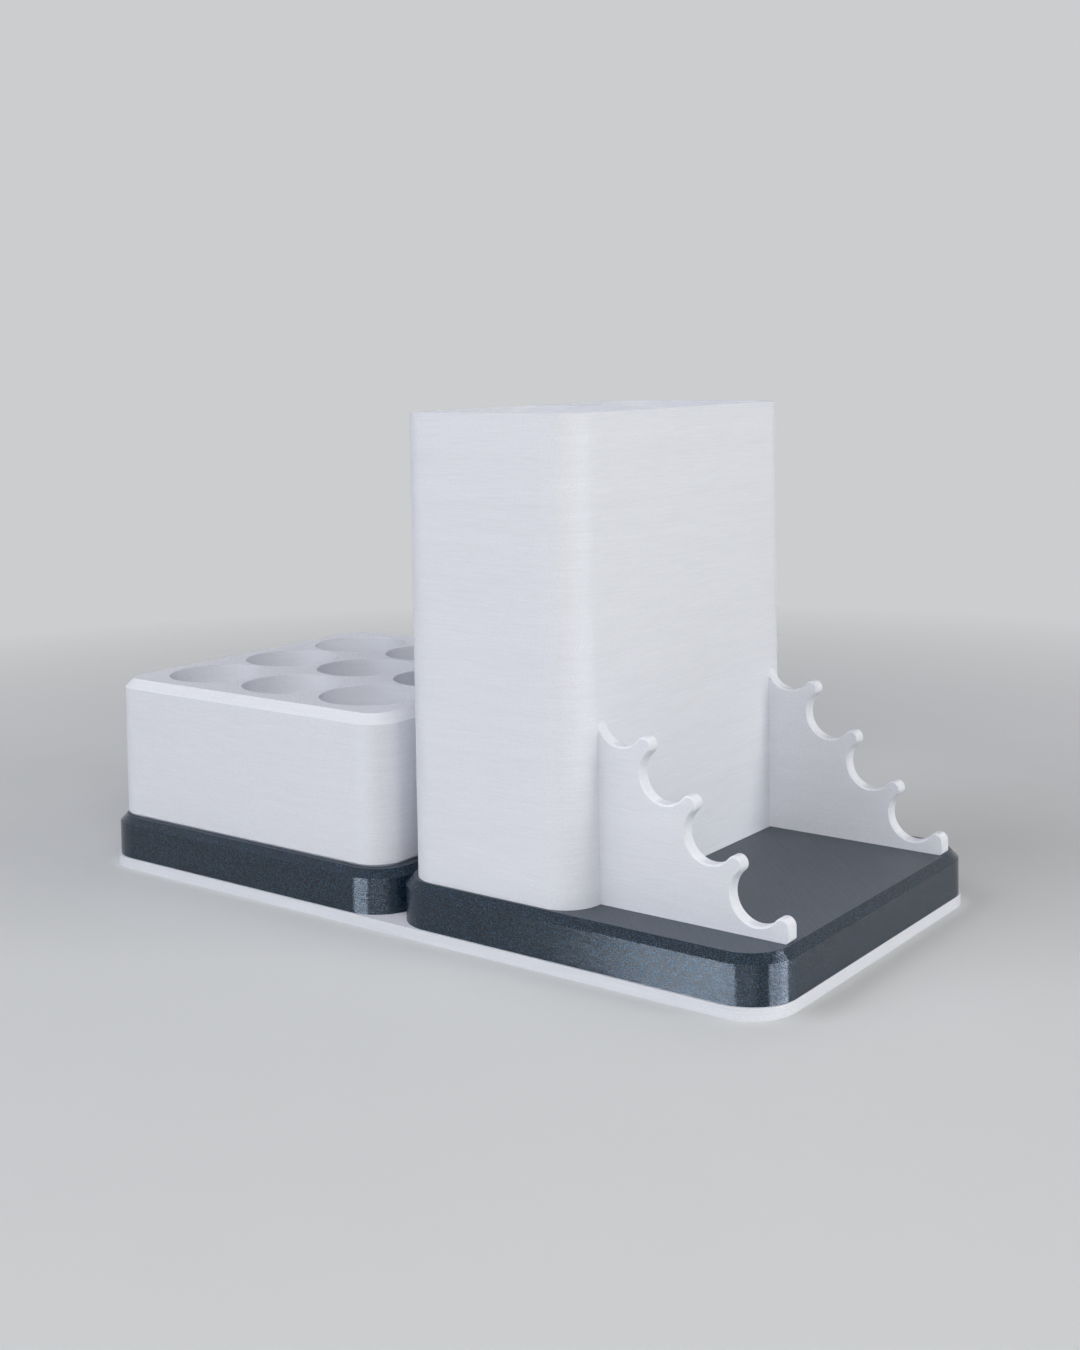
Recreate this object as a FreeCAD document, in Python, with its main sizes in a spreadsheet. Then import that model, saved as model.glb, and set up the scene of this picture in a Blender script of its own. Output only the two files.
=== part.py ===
"""Desk organizer for hobby paints and brushes.

A thin base plate carries two modules that lift off: a block with nine bottle
pockets, and a tall two-compartment tower with a pair of notched brush rests.
Each module is a dark chamfered base with a white body seated in it, and small
disc magnets in the plate and in the module bases hold the modules down.

Frame: origin at the centre of the plate's underside, +X along the plate
towards the brush rests, +Y to the back, +Z up.
"""
import FreeCAD, Part
import math
import os
import Sketcher

# Driving dimensions in millimetres.
SIZES = {
    # base plate
    "plate_thick": 2.6,
    "plate_corner": 10.8,
    "plate_border_side": 0.15,
    "plate_border_front": 0.6,
    # both module bases
    "module_gap": 0.3,
    "base_height": 10.2,
    "base_corner": 11.0,
    "base_chamfer": 1.8,
    "ledge_side": 3.1,
    "ledge_front": 2.65,
    # disc magnets in the plate and under the module bases
    "magnet_dia": 6.0,
    "magnet_thick": 2.0,
    "magnet_inset": 14.0,
    "magnet_recess": 0.1,
    # locating spigots of the white bodies in the module bases
    "seat_depth": 2.0,
    "seat_margin": 6.0,
    "seat_end_gap": 0.1,
    "fit_clearance": 0.05,
    # bottle block
    "pocket_dia": 26.0,
    "pocket_wall": 1.25,
    "pocket_floor": 3.0,
    "block_wall": 6.5,
    "block_height": 35.8,
    "block_corner": 7.6,
    "block_chamfer": 2.3,
    "block_foot_chamfer": 0.6,
    "block_shift": 0.7,
    # tool tower
    "tower_left": 3.15,
    "tower_width": 48.6,
    "tower_ledge": 2.4,
    "tower_height": 106.2,
    "tower_corner": 8.5,
    "tower_wall": 2.4,
    "tower_floor": 3.0,
    "divider_thick": 2.0,
    # notched brush rests
    "rest_thick": 3.2,
    "rest_inset_front": 11.6,
    "rest_inset_back": 10.0,
    "rest_toe": 0.8,
    "rest_edge_chamfer": 0.4,
    "notch_radius": 5.9,
    "notch_pitch": 10.9,
    "notch_floor": 2.3,
    "notch_bite": 0.2,
    "horn_stand": 0.59,
    "tongue_margin": 7.5,
    "tongue_shoulder": 0.7,
}

POCKET_ROWS = 3
LEVEL_TOLERANCE = 0.01
SKETCH_ORIGIN = (-1, 1)
START, END, CENTRE = 1, 2, 3

# Expressions built from the sheet's cells.
BLOCK_SIDE = "(%d * Sizes.pocket_dia + %d * Sizes.pocket_wall + 2 * Sizes.block_wall)" % (
    POCKET_ROWS,
    POCKET_ROWS - 1,
)
POCKET_PITCH = "(Sizes.pocket_dia + Sizes.pocket_wall)"
MODULE_LENGTH = "(%s + 2 * Sizes.ledge_side)" % BLOCK_SIDE
MODULE_DEPTH = "(%s + 2 * Sizes.ledge_front)" % BLOCK_SIDE
MODULE_OFFSET = "((%s + Sizes.module_gap) / 2)" % MODULE_LENGTH
PLATE_LENGTH = "(2 * %s + Sizes.module_gap + 2 * Sizes.plate_border_side)" % MODULE_LENGTH
PLATE_DEPTH = "(%s + 2 * Sizes.plate_border_front)" % MODULE_DEPTH
BASE_TOP = "(Sizes.plate_thick + Sizes.base_height)"
MAGNET_X = "(%s / 2 - Sizes.magnet_inset)" % MODULE_LENGTH
MAGNET_Y = "(%s / 2 - Sizes.magnet_inset)" % MODULE_DEPTH
MAGNET_HOLE = "(Sizes.magnet_dia / 2 + Sizes.fit_clearance)"
SPIGOT_DEPTH = "(Sizes.seat_depth - Sizes.seat_end_gap)"
TOWER_DEPTH = "(%s - 2 * Sizes.tower_ledge)" % MODULE_DEPTH
TOWER_CENTRE = "(Sizes.tower_left + Sizes.tower_width / 2 - %s / 2)" % MODULE_LENGTH
TOWER_FACE = "(Sizes.tower_left + Sizes.tower_width - %s / 2)" % MODULE_LENGTH
COMPARTMENT_DEPTH = "((%s - 2 * Sizes.tower_wall - Sizes.divider_thick) / 2)" % TOWER_DEPTH
REST_FRONT = "(Sizes.rest_inset_front - %s / 2)" % MODULE_DEPTH
REST_BACK = "(%s / 2 - Sizes.rest_inset_back - Sizes.rest_thick)" % MODULE_DEPTH
# A horn's tip touches both of the notches beside it, so its radius follows from theirs.
HORN_RADIUS = "(sqrt(Sizes.notch_pitch ^ 2 / 2 + Sizes.horn_stand ^ 2) - Sizes.notch_radius)"
HORN_SHIFT = "(Sizes.horn_stand / sqrt(2))"
HORN_REACH = "(Sizes.notch_pitch / 2 + %s + %s)" % (HORN_SHIFT, HORN_RADIUS)
# The top notch bites into the line of the tower's wall, and the lowest one stands on the foot.
TOP_NOTCH_X = "(Sizes.notch_radius - Sizes.notch_bite)"
LOW_NOTCH_Z = "(Sizes.notch_floor + Sizes.notch_radius)"
REST_ROOM = (
    "(%s - Sizes.tower_left - Sizes.tower_width - Sizes.base_chamfer)" % MODULE_LENGTH
)

document = FreeCAD.newDocument("hobby_organizer")
sheet = document.addObject("Spreadsheet::Sheet", "Sizes")
for row, (alias, amount) in enumerate(SIZES.items(), start=1):
    sheet.set("A%d" % row, str(amount))
    sheet.setAlias("A%d" % row, alias)
document.recompute()


def measure(expression):
    """The number that an expression gives now, used to start a sketch near its solution."""
    result = sheet.evalExpression(expression)
    return float(getattr(result, "Value", result))


# As many notches as the base has room for beside the tower.
spare_room = "(%s - %s - %s)" % (REST_ROOM, TOP_NOTCH_X, HORN_REACH)
NOTCHES = 1 + math.floor(measure("%s / Sizes.notch_pitch" % spare_room))
LOW_NOTCH_X = "(%s + %d * Sizes.notch_pitch)" % (TOP_NOTCH_X, NOTCHES - 1)
REST_REACH = "(%s + %s)" % (LOW_NOTCH_X, HORN_REACH)
TONGUE_LENGTH = "(%s - 2 * Sizes.tongue_margin)" % REST_REACH
TONGUE_THICK = "(Sizes.rest_thick - 2 * Sizes.tongue_shoulder)"


def vector(x, y):
    return FreeCAD.Vector(x, y, 0)


def line(x_start, y_start, x_end, y_end):
    return Part.LineSegment(vector(x_start, y_start), vector(x_end, y_end))


def arc(x, y, radius, from_degrees, to_degrees):
    circle = Part.Circle(vector(x, y), FreeCAD.Vector(0, 0, 1), radius)
    return Part.ArcOfCircle(circle, math.radians(from_degrees), math.radians(to_degrees))


def new_body(name):
    body = document.addObject("PartDesign::Body", name)
    body.Label = name
    return body


def origin_plane(body, role):
    for feature in body.Origin.OriginFeatures:
        if feature.Role == role:
            return feature
    raise ValueError("no plane %s" % role)


def new_sketch(body, name, role="XY_Plane", **shift):
    """A sketch on one of the body's own planes, moved by the expressions in shift."""
    sketch = body.newObject("Sketcher::SketchObject", name)
    sketch.AttachmentSupport = [(origin_plane(body, role), "")]
    sketch.MapMode = "FlatFace"
    for axis, expression in shift.items():
        sketch.setExpression("AttachmentOffset.Base.%s" % axis, expression)
    return sketch


def relate(sketch, kind, *points):
    """A constraint with no size, such as Tangent or Equal."""
    sketch.addConstraint(Sketcher.Constraint(kind, *points))


def dimension(sketch, name, expression, kind, *points):
    """A named constraint whose size is bound to an expression."""
    index = sketch.addConstraint(Sketcher.Constraint(kind, *points, measure(expression)))
    sketch.renameConstraint(index, name)
    sketch.setExpression("Constraints.%s" % name, expression)


def draw_rounded_rectangle(sketch, length, depth, corner):
    """Four lines and four corner arcs, centred on the sketch's origin."""
    side = measure(length) / 2
    front = measure(depth) / 2
    radius = measure(corner)
    flat_x = side - radius
    flat_y = front - radius
    outline = [
        line(-flat_x, -front, flat_x, -front),
        arc(flat_x, -flat_y, radius, -90, 0),
        line(side, -flat_y, side, flat_y),
        arc(flat_x, flat_y, radius, 0, 90),
        line(flat_x, front, -flat_x, front),
        arc(-flat_x, flat_y, radius, 90, 180),
        line(-side, flat_y, -side, -flat_y),
        arc(-flat_x, -flat_y, radius, 180, 270),
    ]
    front_line, first_corner, right_line, back_line, left_line = 0, 1, 2, 4, 6
    sketch.addGeometry(outline, False)
    for index in range(len(outline)):
        relate(sketch, "Tangent", index, END, (index + 1) % len(outline), START)
    relate(sketch, "Horizontal", front_line)
    relate(sketch, "Horizontal", back_line)
    relate(sketch, "Vertical", right_line)
    relate(sketch, "Vertical", left_line)
    for other_corner in (3, 5, 7):
        relate(sketch, "Equal", first_corner, other_corner)
    relate(sketch, "Symmetric", front_line, START, back_line, START, *SKETCH_ORIGIN)
    dimension(sketch, "length", length, "DistanceX", left_line, START, right_line, START)
    dimension(sketch, "depth", depth, "DistanceY", front_line, START, back_line, START)
    dimension(sketch, "corner", corner, "Radius", first_corner)


def draw_rectangle(sketch, length, depth):
    """Four lines, centred on the sketch's origin."""
    side = measure(length) / 2
    front = measure(depth) / 2
    outline = [
        line(-side, -front, side, -front),
        line(side, -front, side, front),
        line(side, front, -side, front),
        line(-side, front, -side, -front),
    ]
    front_line, right_line, back_line, left_line = range(4)
    sketch.addGeometry(outline, False)
    for index in range(len(outline)):
        relate(sketch, "Coincident", index, END, (index + 1) % len(outline), START)
    relate(sketch, "Horizontal", front_line)
    relate(sketch, "Horizontal", back_line)
    relate(sketch, "Vertical", right_line)
    relate(sketch, "Vertical", left_line)
    relate(sketch, "Symmetric", front_line, START, back_line, START, *SKETCH_ORIGIN)
    dimension(sketch, "length", length, "DistanceX", left_line, START, right_line, START)
    dimension(sketch, "depth", depth, "DistanceY", front_line, START, back_line, START)


def draw_circles(sketch, radius, centres):
    """Circles of one radius; each centre is a pair of expressions, both positive."""
    for index, (x, y) in enumerate(centres):
        circle = Part.Circle(vector(measure(x), measure(y)), FreeCAD.Vector(0, 0, 1), measure(radius))
        sketch.addGeometry(circle, False)
        dimension(sketch, "x%d" % index, x, "DistanceX", *SKETCH_ORIGIN, index, CENTRE)
        dimension(sketch, "y%d" % index, y, "DistanceY", *SKETCH_ORIGIN, index, CENTRE)
        if index:
            relate(sketch, "Equal", 0, index)
    dimension(sketch, "radius", radius, "Radius", 0)


def draw_circle_at_origin(sketch, radius):
    circle = Part.Circle(vector(0, 0), FreeCAD.Vector(0, 0, 1), measure(radius))
    sketch.addGeometry(circle, False)
    relate(sketch, "Coincident", 0, CENTRE, *SKETCH_ORIGIN)
    dimension(sketch, "radius", radius, "Radius", 0)


def extrude(body, kind, name, sketch, length, reverse=False):
    """A Pad or a Pocket of the sketch; reverse turns it to the other side of the sketch."""
    feature = body.newObject("PartDesign::%s" % kind, name)
    feature.Profile = sketch
    feature.Reversed = reverse
    feature.setExpression("Length", length)
    return feature


def level_edges(feature, level):
    """The edges that lie flat at one height of a recomputed feature."""
    names = []
    for number, edge in enumerate(feature.Shape.Edges, start=1):
        box = edge.BoundBox
        low = abs(box.ZMin - level) < LEVEL_TOLERANCE
        high = abs(box.ZMax - level) < LEVEL_TOLERANCE
        if low and high:
            names.append("Edge%d" % number)
    return names


def chamfer_level(body, name, feature, level, size):
    """A chamfer along every edge at one height."""
    document.recompute()
    chamfer = body.newObject("PartDesign::Chamfer", name)
    chamfer.Base = (feature, level_edges(feature, level))
    chamfer.setExpression("Size", size)
    return chamfer


def mirror_to_quarters(body, name, original):
    """Repeats one cut on both sides of the body's YZ and XZ planes."""
    pattern = body.newObject("PartDesign::MultiTransform", name)
    pattern.Originals = [original]
    steps = []
    for role in ("YZ_Plane", "XZ_Plane"):
        step = body.newObject("PartDesign::Mirrored", "%s_%s" % (name, role))
        step.MirrorPlane = (origin_plane(body, role), [""])
        steps.append(step)
    pattern.Transformations = steps
    body.Tip = pattern
    return pattern


def add_spigot(body, length, depth):
    """The pad under a white body that drops into the recess of its module base."""
    sketch = new_sketch(body, body.Label + "_spigot_sketch")
    draw_rectangle(sketch, length, depth)
    return extrude(body, "Pad", body.Label + "_spigot", sketch, SPIGOT_DEPTH, reverse=True)


def place(thing, **expressions):
    for axis, expression in expressions.items():
        thing.setExpression("Placement.Base.%s" % axis, expression)


def make_plate():
    body = new_body("base_plate")
    outline = new_sketch(body, "plate_outline")
    draw_rounded_rectangle(outline, PLATE_LENGTH, PLATE_DEPTH, "Sizes.plate_corner")
    extrude(body, "Pad", "plate_pad", outline, "Sizes.plate_thick")
    holes = new_sketch(body, "plate_magnet_circles", z="Sizes.plate_thick")
    columns = (
        "(%s - %s)" % (MODULE_OFFSET, MAGNET_X),
        "(%s + %s)" % (MODULE_OFFSET, MAGNET_X),
    )
    draw_circles(holes, MAGNET_HOLE, [(column, MAGNET_Y) for column in columns])
    pocket = extrude(body, "Pocket", "plate_magnet_pockets", holes, "Sizes.magnet_thick")
    mirror_to_quarters(body, "plate_magnet_pattern", pocket)
    return body


def seat(x, y, length, depth):
    return {"x": x, "y": y, "length": length, "depth": depth}


def make_base(name, side, seats):
    """A chamfered module base with magnet pockets below and one recess for each seat above."""
    body = new_body(name)
    outline = new_sketch(body, name + "_outline")
    draw_rounded_rectangle(outline, MODULE_LENGTH, MODULE_DEPTH, "Sizes.base_corner")
    solid = extrude(body, "Pad", name + "_pad", outline, "Sizes.base_height")
    chamfer_level(body, name + "_chamfer", solid, measure("Sizes.base_height"), "Sizes.base_chamfer")
    for number, item in enumerate(seats, start=1):
        recess_name = "%s_recess_%d" % (name, number)
        recess = new_sketch(
            body, recess_name + "_sketch", x=item["x"], y=item["y"], z="Sizes.base_height"
        )
        draw_rectangle(
            recess,
            "(%s + 2 * Sizes.fit_clearance)" % item["length"],
            "(%s + 2 * Sizes.fit_clearance)" % item["depth"],
        )
        extrude(body, "Pocket", recess_name, recess, "Sizes.seat_depth")
    holes = new_sketch(body, name + "_magnet_circle")
    draw_circles(holes, MAGNET_HOLE, [(MAGNET_X, MAGNET_Y)])
    hole_depth = "(Sizes.magnet_thick + Sizes.magnet_recess)"
    pocket = extrude(body, "Pocket", name + "_magnet_pocket", holes, hole_depth, reverse=True)
    mirror_to_quarters(body, name + "_magnet_pattern", pocket)
    place(body, x="%d * %s" % (side, MODULE_OFFSET), z="Sizes.plate_thick")
    return body


def make_magnets(name, side, height):
    """Four discs at the corners of one module, at the given height."""
    discs = []
    corners = ((-1, -1), (1, -1), (1, 1), (-1, 1))
    for number, (x_side, y_side) in enumerate(corners, start=1):
        disc = document.addObject("Part::Cylinder", "%s_%d" % (name, number))
        disc.Label = "%s_%d" % (name, number)
        disc.setExpression("Radius", "Sizes.magnet_dia / 2")
        disc.setExpression("Height", "Sizes.magnet_thick")
        place(
            disc,
            x="%d * %s + %d * %s" % (side, MODULE_OFFSET, x_side, MAGNET_X),
            y="%d * %s" % (y_side, MAGNET_Y),
            z=height,
        )
        discs.append(disc)
    return discs


def make_bottle_block(seat_side):
    body = new_body("bottle_block")
    outline = new_sketch(body, "block_outline")
    draw_rounded_rectangle(outline, BLOCK_SIDE, BLOCK_SIDE, "Sizes.block_corner")
    solid = extrude(body, "Pad", "block_pad", outline, "Sizes.block_height")
    top = chamfer_level(
        body, "block_chamfer", solid, measure("Sizes.block_height"), "Sizes.block_chamfer"
    )
    chamfer_level(body, "block_foot", top, 0, "Sizes.block_foot_chamfer")
    add_spigot(body, seat_side, seat_side)
    first_pocket = "-%d / 2 * %s" % (POCKET_ROWS - 1, POCKET_PITCH)
    circle = new_sketch(
        body, "pocket_circle", x=first_pocket, y=first_pocket, z="Sizes.block_height"
    )
    draw_circle_at_origin(circle, "(Sizes.pocket_dia / 2)")
    depth = "(Sizes.block_height - Sizes.pocket_floor)"
    pocket = extrude(body, "Pocket", "bottle_pocket", circle, depth)
    pattern = body.newObject("PartDesign::MultiTransform", "bottle_pocket_grid")
    pattern.Originals = [pocket]
    steps = []
    for axis in ("H_Axis", "V_Axis"):
        step = body.newObject("PartDesign::LinearPattern", "bottle_pocket_row_%s" % axis)
        step.Direction = (circle, [axis])
        step.Occurrences = POCKET_ROWS
        step.setExpression("Length", "%d * %s" % (POCKET_ROWS - 1, POCKET_PITCH))
        steps.append(step)
    pattern.Transformations = steps
    body.Tip = pattern
    place(body, x="-(%s + Sizes.block_shift)" % MODULE_OFFSET, z=BASE_TOP)
    return body


def make_tool_tower(seat_length, seat_depth):
    body = new_body("tool_tower")
    outline = new_sketch(body, "tower_outline")
    draw_rounded_rectangle(outline, "Sizes.tower_width", TOWER_DEPTH, "Sizes.tower_corner")
    extrude(body, "Pad", "tower_pad", outline, "Sizes.tower_height")
    add_spigot(body, seat_length, seat_depth)
    room = new_sketch(
        body,
        "compartment_outline",
        y="-(%s + Sizes.divider_thick) / 2" % COMPARTMENT_DEPTH,
        z="Sizes.tower_height",
    )
    draw_rounded_rectangle(
        room,
        "(Sizes.tower_width - 2 * Sizes.tower_wall)",
        COMPARTMENT_DEPTH,
        "(Sizes.tower_corner - Sizes.tower_wall)",
    )
    depth = "(Sizes.tower_height - Sizes.tower_floor)"
    pocket = extrude(body, "Pocket", "front_compartment", room, depth)
    mirrored = body.newObject("PartDesign::Mirrored", "back_compartment")
    mirrored.Originals = [pocket]
    mirrored.MirrorPlane = (origin_plane(body, "XZ_Plane"), [""])
    body.Tip = mirrored
    place(body, x="%s + %s" % (MODULE_OFFSET, TOWER_CENTRE), z=BASE_TOP)
    return body


def draw_rest_profile(sketch):
    """The side of a brush rest: foot, toe, end face, then horns and notches up to the tower.

    The notches step up and back at one pitch. The arcs of the notches and of the horns
    between them meet tangentially, so the edge is one smooth wave.
    """
    reach = measure(REST_REACH)
    toe = measure("Sizes.rest_toe")
    pitch = measure("Sizes.notch_pitch")
    notch = measure("Sizes.notch_radius")
    horn = measure(HORN_RADIUS)
    shift = measure(HORN_SHIFT)
    lean = math.degrees(math.atan2(measure("Sizes.horn_stand"), pitch / math.sqrt(2)))
    low_x = measure(LOW_NOTCH_X)
    low_z = measure(LOW_NOTCH_Z)
    top_x = measure(TOP_NOTCH_X)
    wall_top = low_z + (NOTCHES - 1) * pitch - math.sqrt(notch ** 2 - top_x ** 2)
    foot_line, toe_line, end_line = 0, 1, 2
    outline = [
        line(0, 0, reach - toe, 0),
        line(reach - toe, 0, reach, toe),
        line(reach, toe, reach, low_z - pitch / 2 + shift),
    ]
    horns = []
    notches = []
    for step in range(NOTCHES):
        x = low_x - step * pitch
        z = low_z + step * pitch
        # the lowest horn rises from the end face, and the top notch starts at the tower
        horn_begin = -45 - lean if step else 0
        notch_begin = 135 - lean
        if step == NOTCHES - 1:
            notch_begin = 180 + math.degrees(math.acos(top_x / notch))
        horns.append(len(outline))
        outline.append(arc(x + pitch / 2 + shift, z - pitch / 2 + shift, horn, horn_begin, 135 + lean))
        notches.append(len(outline))
        outline.append(arc(x, z, notch, notch_begin, 315 + lean))
    wall_line = len(outline)
    outline.append(line(0, wall_top, 0, 0))
    sketch.addGeometry(outline, False)

    relate(sketch, "Coincident", foot_line, START, *SKETCH_ORIGIN)
    relate(sketch, "Horizontal", foot_line)
    relate(sketch, "Coincident", foot_line, END, toe_line, START)
    relate(sketch, "Coincident", toe_line, END, end_line, START)
    relate(sketch, "Vertical", end_line)
    relate(sketch, "Tangent", end_line, END, horns[0], START)
    relate(sketch, "Vertical", wall_line)
    relate(sketch, "Coincident", wall_line, END, foot_line, START)
    relate(sketch, "Coincident", wall_line, START, notches[-1], START)
    for step in range(NOTCHES):
        relate(sketch, "Tangent", horns[step], END, notches[step], END)
    for step in range(1, NOTCHES):
        relate(sketch, "Tangent", notches[step - 1], START, horns[step], START)
        relate(sketch, "Equal", horns[0], horns[step])
        relate(sketch, "Equal", notches[0], notches[step])
    dimension(sketch, "reach", REST_REACH, "DistanceX", *SKETCH_ORIGIN, end_line, START)
    dimension(sketch, "toe_length", "Sizes.rest_toe", "DistanceX", toe_line, START, toe_line, END)
    dimension(sketch, "toe_height", "Sizes.rest_toe", "DistanceY", toe_line, START, toe_line, END)
    dimension(sketch, "horn", HORN_RADIUS, "Radius", horns[0])
    dimension(sketch, "notch", "Sizes.notch_radius", "Radius", notches[0])
    dimension(sketch, "low_x", LOW_NOTCH_X, "DistanceX", *SKETCH_ORIGIN, notches[0], CENTRE)
    dimension(sketch, "low_z", LOW_NOTCH_Z, "DistanceY", *SKETCH_ORIGIN, notches[0], CENTRE)
    for step in range(1, NOTCHES):
        inner = (notches[step], CENTRE)
        outer = (notches[step - 1], CENTRE)
        dimension(sketch, "back%d" % step, "Sizes.notch_pitch", "DistanceX", *inner, *outer)
        dimension(sketch, "rise%d" % step, "Sizes.notch_pitch", "DistanceY", *outer, *inner)


def wave_edges(feature):
    """The edges of a rest's notches, horns and end face, on both of its flat sides."""
    names = []
    for number, edge in enumerate(feature.Shape.Edges, start=1):
        box = edge.BoundBox
        on_side = box.YLength < LEVEL_TOLERANCE
        above_toe = box.ZMin > measure("Sizes.rest_toe") - LEVEL_TOLERANCE
        off_wall = box.XMax > LEVEL_TOLERANCE
        if on_side and above_toe and off_wall:
            names.append("Edge%d" % number)
    return names


def make_rest(name, y):
    """A notched brush rest: its back edge stands against the tower, its tongue in the base."""
    body = new_body(name)
    profile = new_sketch(body, name + "_profile", role="XZ_Plane")
    draw_rest_profile(profile)
    solid = extrude(body, "Pad", name + "_pad", profile, "Sizes.rest_thick", reverse=True)
    document.recompute()
    chamfer = body.newObject("PartDesign::Chamfer", name + "_edges")
    chamfer.Base = (solid, wave_edges(solid))
    chamfer.setExpression("Size", "Sizes.rest_edge_chamfer")
    tongue = new_sketch(
        body, name + "_tongue_sketch", x="%s / 2" % REST_REACH, y="Sizes.rest_thick / 2"
    )
    draw_rectangle(tongue, TONGUE_LENGTH, TONGUE_THICK)
    extrude(body, "Pad", name + "_tongue", tongue, SPIGOT_DEPTH, reverse=True)
    place(body, x="%s + %s" % (MODULE_OFFSET, TOWER_FACE), y=y, z=BASE_TOP)
    return body


def check_document():
    """Stops with a message where a feature failed or a cut removed nothing."""
    for thing in document.Objects:
        if "Invalid" in thing.State or "Error" in thing.State:
            raise RuntimeError("%s failed: %s" % (thing.Label, thing.State))
        if thing.TypeId == "PartDesign::Pocket":
            if thing.Shape.Volume >= thing.BaseFeature.Shape.Volume:
                raise RuntimeError("%s cuts nothing" % thing.Label)


def export(pieces):
    os.makedirs("parts", exist_ok=True)
    for piece in pieces:
        if piece.Shape.isNull() or not piece.Shape.isValid():
            raise RuntimeError("%s has no valid shape" % piece.Label)
    for piece in pieces:
        piece.Shape.exportStep("parts/%s.step" % piece.Label)
        box = piece.Shape.BoundBox
        extent = (box.XMin, box.XMax, box.YMin, box.YMax, box.ZMin, box.ZMax)
        print("%-22s %8.0f mm3" % (piece.Label, piece.Shape.Volume), end="  ")
        print("x %7.2f %7.2f  y %7.2f %7.2f  z %7.2f %7.2f" % extent)


block_seat_side = "(%s - 2 * Sizes.seat_margin)" % BLOCK_SIDE
tower_seat_length = "(Sizes.tower_width - 2 * Sizes.seat_margin)"
tower_seat_depth = "(%s - 2 * Sizes.seat_margin)" % TOWER_DEPTH
block_seat = seat("-Sizes.block_shift", "0", block_seat_side, block_seat_side)
tower_seats = [seat(TOWER_CENTRE, "0", tower_seat_length, tower_seat_depth)]
for rest_y in (REST_FRONT, REST_BACK):
    tower_seats.append(
        seat(
            "(%s + %s / 2)" % (TOWER_FACE, REST_REACH),
            "(%s + Sizes.rest_thick / 2)" % rest_y,
            TONGUE_LENGTH,
            TONGUE_THICK,
        )
    )

LEFT, RIGHT = -1, 1
plate_magnet_height = "(Sizes.plate_thick - Sizes.magnet_thick)"
module_magnet_height = "(Sizes.plate_thick + Sizes.magnet_recess)"
pieces = [
    make_plate(),
    make_base("bottle_base", LEFT, [block_seat]),
    make_bottle_block(block_seat_side),
    make_base("tower_base", RIGHT, tower_seats),
    make_tool_tower(tower_seat_length, tower_seat_depth),
    make_rest("brush_rest_front", REST_FRONT),
    make_rest("brush_rest_back", REST_BACK),
]
pieces += make_magnets("plate_magnet_left", LEFT, plate_magnet_height)
pieces += make_magnets("plate_magnet_right", RIGHT, plate_magnet_height)
pieces += make_magnets("bottle_base_magnet", LEFT, module_magnet_height)
pieces += make_magnets("tower_base_magnet", RIGHT, module_magnet_height)
document.recompute()
check_document()
export(pieces)
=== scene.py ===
"""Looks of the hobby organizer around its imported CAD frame: print finishes, floor, lights, camera."""
import math

import bpy
from mathutils import Matrix, Vector

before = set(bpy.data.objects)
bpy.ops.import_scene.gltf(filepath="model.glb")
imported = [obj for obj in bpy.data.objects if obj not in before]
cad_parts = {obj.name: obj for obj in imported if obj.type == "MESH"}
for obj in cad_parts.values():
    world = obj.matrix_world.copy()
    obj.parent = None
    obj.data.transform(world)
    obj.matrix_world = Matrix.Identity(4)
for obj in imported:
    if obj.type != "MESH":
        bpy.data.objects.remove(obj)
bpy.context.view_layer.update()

MM = 0.001

WHITE_PIECES = ["base_plate", "bottle_block", "tool_tower", "brush_rest_front", "brush_rest_back"]
DARK_PIECES = ["bottle_base", "tower_base"]
MAGNETS = [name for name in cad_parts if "magnet" in name]

# How the parts were printed: the layer height, and the width of a raster line on a flat top.
LAYER = 0.2 * MM
LINE_WIDTH = 0.42 * MM

# The two prints. Colours are linear. Wall and top each have one for low tone and one for high; the top
# colours carry painted light.
WHITE_PRINT = {
    "wall": ((0.745, 0.76, 0.83), (0.83, 0.845, 0.92)),
    # Painted shade: the white tops are coloured darker than the walls of the same white print.
    "top_painted_light": ((0.60, 0.60, 0.68), (0.64, 0.64, 0.72)),
    "fleck": (0.735, 0.75, 0.815),
    "roughness": 0.5,
    "gloss_spread": 0.15,
    "bead_depth": 0.02 * MM,
    "specular": 0.1,
}
DARK_PRINT = {
    "wall": ((0.002, 0.010, 0.021), (0.001, 0.006, 0.014)),
    # Painted sheen: the dark tops are coloured far lighter than the walls, standing in for their grazing
    # reflection.
    "top_painted_light": ((0.056, 0.062, 0.074), (0.082, 0.089, 0.104)),
    "fleck": (0.022, 0.058, 0.105),
    "roughness": 0.12,
    "gloss_spread": 0.05,
    "bead_depth": 0.035 * MM,
    "specular": 0.5,
}
TOP_ROUGHNESS = 0.5

# Where a surface turns from wall to top, by how far its normal points up or down.
TOP_RANGE = (0.90, 0.97)

# Noise of the prints: scales per metre along x, y and z, and detail. Rows lie along the raster lines.
STREAK_SCALE = (110.0, 110.0, 1 / (1.4 * LAYER))
STREAK_DETAIL = 3.0
BAND_SCALE = (3.0, 3.0, 260.0)
BAND_DETAIL = 2.0
ROW_SCALE = (1500.0, 40.0, 1.0)
ROW_DETAIL = 2.0
GRAIN_STRETCH = (1.0, 1.0, 1.4)
GRAIN_SCALE = 2700.0
GRAIN_DETAIL = 1.0

# Relief, in bead depths.
STREAK_RELIEF = 0.5
ROW_RELIEF = 0.04
RASTER_RELIEF = 0.10

# Tone: how a wall's is mixed from its noises, and the ranges of noise that become tone and flecks.
BAND_SHARE = 0.3
STREAK_SHARE = 0.7
TONE_RANGE = (0.28, 0.72)
MEAN_TONE = 0.5
FLECK_RANGE = (0.46, 0.72)

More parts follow.
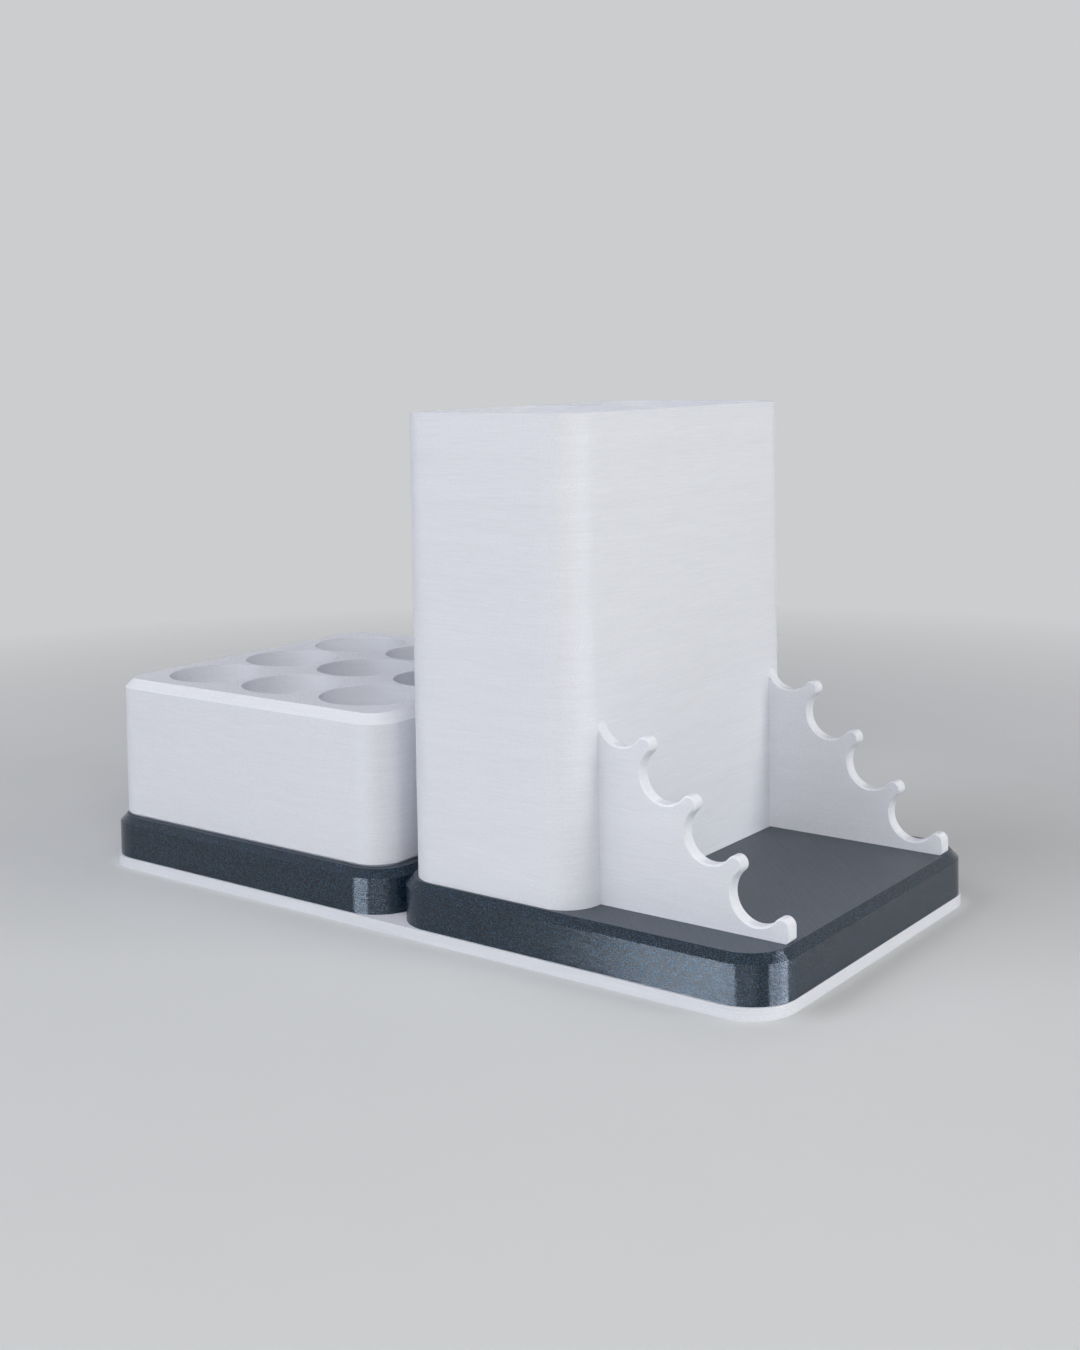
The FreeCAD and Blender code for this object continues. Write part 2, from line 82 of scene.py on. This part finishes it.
# Nickel plate of the magnets, bright and worn.
NICKEL = (0.62, 0.62, 0.60)
NICKEL_WORN = (0.5, 0.5, 0.49)
WEAR_SCALE = 900.0
WEAR_DETAIL = 3.0
WEAR_RANGE = (0.3, 0.7)
WEAR_ROUGHNESS = (0.22, 0.38)

# Floor: radii in metres. It fades out from the first fade radius to the second.
PAPER = (0.60, 0.61, 0.63)
PAPER_SHADE = 0.985
PAPER_ROUGHNESS = 0.9
MOTTLE_SCALE = 60.0
MOTTLE_DETAIL = 4.0
FLOOR_RADIUS = 3.0
FLOOR_VERTICES = 96
FLOOR_FADE = (0.20, 0.48)

# Camera: place in metres, angles in degrees, and the framing in pixels of the full picture.
PICTURE_WIDTH = 1080
PICTURE_HEIGHT = 1350
FOCAL_PIXELS = 1715.2
CENTRE_PIXEL = (543.2, 445.0)
SENSOR = 36.0
CLIP_START = 0.01
CAMERA_PLACE = (262.24 * MM, -335.79 * MM, 130.70 * MM)
CAMERA_AZIMUTH = 36.915
CAMERA_ELEVATION = 2.905
CAMERA_ROLL = -0.911

# Lamps: azimuth and elevation in degrees, width and height in metres, power in watts, colour.
LAMP_TARGET = (0.0, 0.0, 0.045)
LAMP_DISTANCE = 0.9
SOFTBOXES = {
    "front_left": (-35, 45, 0.6, 0.5, 4.1, (0.94, 0.96, 1.0)),
    "front_right": (40, 30, 0.6, 0.6, 3.6, (1.0, 0.98, 0.91)),
    "side": (104, 22, 0.3, 0.9, 3.5, (1.0, 1.0, 0.95)),
    "back": (180, 30, 0.8, 0.6, 1.1, (0.9, 0.9, 1.0)),
}
STRIPS = {
    "sheen_front": (-5.5, 9, 0.56, 0.26, 19.0, (0.66, 0.81, 1.0)),
    "sheen_right": (96, 9, 0.66, 0.26, 16.0, (0.68, 0.80, 1.0)),
}

# World: its colour, how strongly it lights surfaces, and how bright it looks itself.
WORLD_COLOUR = (0.97, 0.985, 1.0, 1.0)
FILL = 0.17
BACKDROP = 0.62


class Nodes:
    """Short calls for building a shader's node tree."""

    def __init__(self, tree):
        self.tree = tree

    def add(self, kind, inputs=None, **settings):
        node = self.tree.nodes.new(kind)
        for name, value in settings.items():
            setattr(node, name, value)
        for name, value in (inputs or {}).items():
            self.put(node.inputs[name], value)
        return node

    def put(self, socket, value):
        if isinstance(value, bpy.types.NodeSocket):
            self.tree.links.new(value, socket)
        else:
            socket.default_value = value

    def math(self, operation, *values):
        node = self.add("ShaderNodeMath", operation=operation)
        for socket, value in zip(node.inputs, values):
            self.put(socket, value)
        return node.outputs[0]

    def weighted(self, first, first_share, second, second_share):
        """The sum of two values, each times its share."""
        return self.math("MULTIPLY_ADD", first, first_share, self.math("MULTIPLY", second, second_share))

    def ridges(self, value, width):
        """Rounded ridges from 0 to 1, one in each width of the value."""
        return self.math("ABSOLUTE", self.math("SINE", self.math("MULTIPLY", value, math.pi / width)))

    def scaled(self, vector, scale):
        node = self.add("ShaderNodeVectorMath", operation="MULTIPLY")
        self.put(node.inputs[0], vector)
        self.put(node.inputs[1], scale)
        return node.outputs[0]

    def noise(self, vector, scale, detail):
        inputs = {"Vector": vector, "Scale": scale, "Detail": detail}
        return self.add("ShaderNodeTexNoise", inputs).outputs["Fac"]

    def ramp(self, value, low, high, to_low=0.0, to_high=1.0):
        inputs = {
            "Value": value,
            "From Min": low,
            "From Max": high,
            "To Min": to_low,
            "To Max": to_high,
        }
        return self.add("ShaderNodeMapRange", inputs).outputs["Result"]

    def blend(self, factor, first, second):
        """A blend of two numbers."""
        return self.add("ShaderNodeMix", {0: factor, 2: first, 3: second}).outputs[0]

    def mix(self, factor, first, second):
        """A blend of two colours, each a socket or three numbers."""
        node = self.add("ShaderNodeMix", data_type="RGBA")
        for index, value in {0: factor, 6: first, 7: second}.items():
            self.put(node.inputs[index], (*value, 1.0) if isinstance(value, tuple) else value)
        return node.outputs[2]


def new_material(name):
    material = bpy.data.materials.new(name)
    material.use_nodes = True
    nodes = Nodes(material.node_tree)
    shader = material.node_tree.nodes["Principled BSDF"]
    return material, nodes, shader


def printed(name, wall, top_painted_light, fleck, roughness, gloss_spread, bead_depth, specular):
    """Layered print: horizontal layers on the walls, raster lines on the flat tops."""
    material, nodes, shader = new_material(name)
    coordinates = nodes.add("ShaderNodeTexCoord")
    place = coordinates.outputs["Object"]
    x, y, z = nodes.add("ShaderNodeSeparateXYZ", {0: place}).outputs
    normal = nodes.add("ShaderNodeSeparateXYZ", {0: coordinates.outputs["Normal"]})
    on_top = nodes.ramp(nodes.math("ABSOLUTE", normal.outputs[2]), *TOP_RANGE)

    # Layers of the walls: one rounded bead each, with fine streaks and broad bands along them.
    bead = nodes.ridges(z, LAYER)
    streaks = nodes.noise(nodes.scaled(place, STREAK_SCALE), 1.0, STREAK_DETAIL)
    bands = nodes.noise(nodes.scaled(place, BAND_SCALE), 1.0, BAND_DETAIL)
    # Raster lines of the top faces, laid at 45 degrees.
    along = nodes.math("ADD", x, y)
    across = nodes.math("SUBTRACT", x, y)
    raster = nodes.ridges(along, LINE_WIDTH * math.sqrt(2))
    turned = nodes.add("ShaderNodeCombineXYZ", {0: along, 1: across, 2: z}).outputs[0]
    rows = nodes.noise(nodes.scaled(turned, ROW_SCALE), 1.0, ROW_DETAIL)

    wall_height = nodes.math("MULTIPLY_ADD", streaks, STREAK_RELIEF, bead)
    top_height = nodes.weighted(rows, ROW_RELIEF, raster, RASTER_RELIEF)
    height = nodes.blend(on_top, wall_height, top_height)
    bump = nodes.add("ShaderNodeBump", {"Height": height, "Strength": 1.0, "Distance": bead_depth})

    wall_tone = nodes.weighted(bands, BAND_SHARE, streaks, STREAK_SHARE)
    tone = nodes.ramp(nodes.blend(on_top, wall_tone, rows), *TONE_RANGE)
    grain = nodes.noise(nodes.scaled(place, GRAIN_STRETCH), GRAIN_SCALE, GRAIN_DETAIL)
    # Flat faces take the top colours: painted shade on the white tops, painted sheen on the dark tops.
    colour = nodes.mix(on_top, nodes.mix(tone, *wall), nodes.mix(tone, *top_painted_light))
    colour = nodes.mix(nodes.ramp(grain, *FLECK_RANGE), colour, fleck)
    rough = nodes.math("MULTIPLY_ADD", nodes.math("SUBTRACT", tone, MEAN_TONE), -gloss_spread, roughness)
    rough = nodes.math("MAXIMUM", rough, nodes.math("MULTIPLY", on_top, TOP_ROUGHNESS))
    nodes.put(shader.inputs["Base Color"], colour)
    nodes.put(shader.inputs["Roughness"], rough)
    nodes.put(shader.inputs["Normal"], bump.outputs[0])
    shader.inputs["Specular IOR Level"].default_value = specular
    return material


def nickel():
    material, nodes, shader = new_material("nickel_plate")
    shader.inputs["Metallic"].default_value = 1.0
    place = nodes.add("ShaderNodeTexCoord").outputs["Object"]
    wear = nodes.noise(place, WEAR_SCALE, WEAR_DETAIL)
    nodes.put(shader.inputs["Base Color"], nodes.mix(wear, NICKEL, NICKEL_WORN))
    nodes.put(shader.inputs["Roughness"], nodes.ramp(wear, *WEAR_RANGE, *WEAR_ROUGHNESS))
    return material


def dress(names, material):
    for name in names:
        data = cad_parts[name].data
        data.materials.clear()
        data.materials.append(material)


def direction(azimuth, elevation):
    """Unit vector from angles in degrees; azimuth turns from the front towards the brush rests."""
    turn, rise = math.radians(azimuth), math.radians(elevation)
    return Vector((math.sin(turn) * math.cos(rise), -math.cos(turn) * math.cos(rise), math.sin(rise)))


def make_camera():
    back = direction(CAMERA_AZIMUTH, CAMERA_ELEVATION)
    roll = math.radians(CAMERA_ROLL)
    right = Vector((0, 0, 1)).cross(back).normalized()
    up = back.cross(right)
    tilted_right = right * math.cos(roll) + up * math.sin(roll)
    tilted_up = up * math.cos(roll) - right * math.sin(roll)
    data = bpy.data.cameras.new("camera")
    data.sensor_width = SENSOR
    data.lens = FOCAL_PIXELS * SENSOR / PICTURE_HEIGHT
    data.shift_x = (PICTURE_WIDTH / 2 - CENTRE_PIXEL[0]) / PICTURE_HEIGHT
    data.shift_y = (CENTRE_PIXEL[1] - PICTURE_HEIGHT / 2) / PICTURE_HEIGHT
    data.clip_start = CLIP_START
    camera = bpy.data.objects.new("camera", data)
    axes = Matrix((tilted_right, tilted_up, back)).transposed()
    camera.matrix_world = Matrix.Translation(CAMERA_PLACE) @ axes.to_4x4()
    bpy.context.scene.collection.objects.link(camera)
    bpy.context.scene.camera = camera


def area_lamp(name, azimuth, elevation, width, height, power, colour, sheen_only=False):
    """A lamp that faces the object. It either lights surfaces or, sheen_only, shows in reflections."""
    way = direction(azimuth, elevation)
    data = bpy.data.lights.new(name, "AREA")
    data.shape = "RECTANGLE"
    data.size = width
    data.size_y = height
    data.energy = power
    data.color = colour
    lamp = bpy.data.objects.new(name, data)
    lamp.location = Vector(LAMP_TARGET) + way * LAMP_DISTANCE
    lamp.rotation_euler = way.to_track_quat("Z", "Y").to_euler()
    lamp.visible_diffuse = not sheen_only
    lamp.visible_glossy = sheen_only
    bpy.context.scene.collection.objects.link(lamp)


def make_floor():
    """A pale disc that fades into the backdrop's colour far from the object."""
    bpy.ops.mesh.primitive_circle_add(vertices=FLOOR_VERTICES, radius=FLOOR_RADIUS, fill_type="NGON")
    floor = bpy.context.object
    floor.name = "floor"
    material, nodes, shader = new_material("pale_floor")
    place = nodes.add("ShaderNodeTexCoord").outputs["Object"]
    mottle = nodes.noise(place, MOTTLE_SCALE, MOTTLE_DETAIL)
    darker = tuple(channel * PAPER_SHADE for channel in PAPER)
    nodes.put(shader.inputs["Base Color"], nodes.mix(mottle, PAPER, darker))
    shader.inputs["Roughness"].default_value = PAPER_ROUGHNESS
    shader.inputs["Specular IOR Level"].default_value = 0.0
    radius = nodes.add("ShaderNodeVectorMath", {0: place}, operation="LENGTH").outputs["Value"]
    fade = nodes.ramp(radius, *FLOOR_FADE)
    clear = nodes.add("ShaderNodeBsdfTransparent")
    surface = nodes.add("ShaderNodeMixShader", {0: fade, 1: shader.outputs[0], 2: clear.outputs[0]})
    output = material.node_tree.nodes["Material Output"]
    nodes.put(output.inputs["Surface"], surface.outputs[0])
    floor.data.materials.append(material)


def make_world():
    """Even light all round; the camera, reflections and clear things see the pale backdrop."""
    world = bpy.data.worlds.new("studio")
    world.use_nodes = True
    bpy.context.scene.world = world
    nodes = Nodes(world.node_tree)
    background = world.node_tree.nodes["Background"]
    path = nodes.add("ShaderNodeLightPath")
    seen = nodes.math("MAXIMUM", path.outputs["Is Camera Ray"], path.outputs["Is Glossy Ray"])
    seen = nodes.math("MAXIMUM", seen, path.outputs["Is Transmission Ray"])
    background.inputs["Color"].default_value = WORLD_COLOUR
    nodes.put(background.inputs["Strength"], nodes.ramp(seen, 0.0, 1.0, FILL, BACKDROP))


dress(WHITE_PIECES, printed("white_print", **WHITE_PRINT))
dress(DARK_PIECES, printed("dark_print", **DARK_PRINT))
dress(MAGNETS, nickel())
make_floor()
make_world()
for lamp_name, settings in SOFTBOXES.items():
    area_lamp(lamp_name, *settings)
for lamp_name, settings in STRIPS.items():
    area_lamp(lamp_name, *settings, sheen_only=True)
make_camera()
bpy.context.scene.view_settings.view_transform = "Standard"
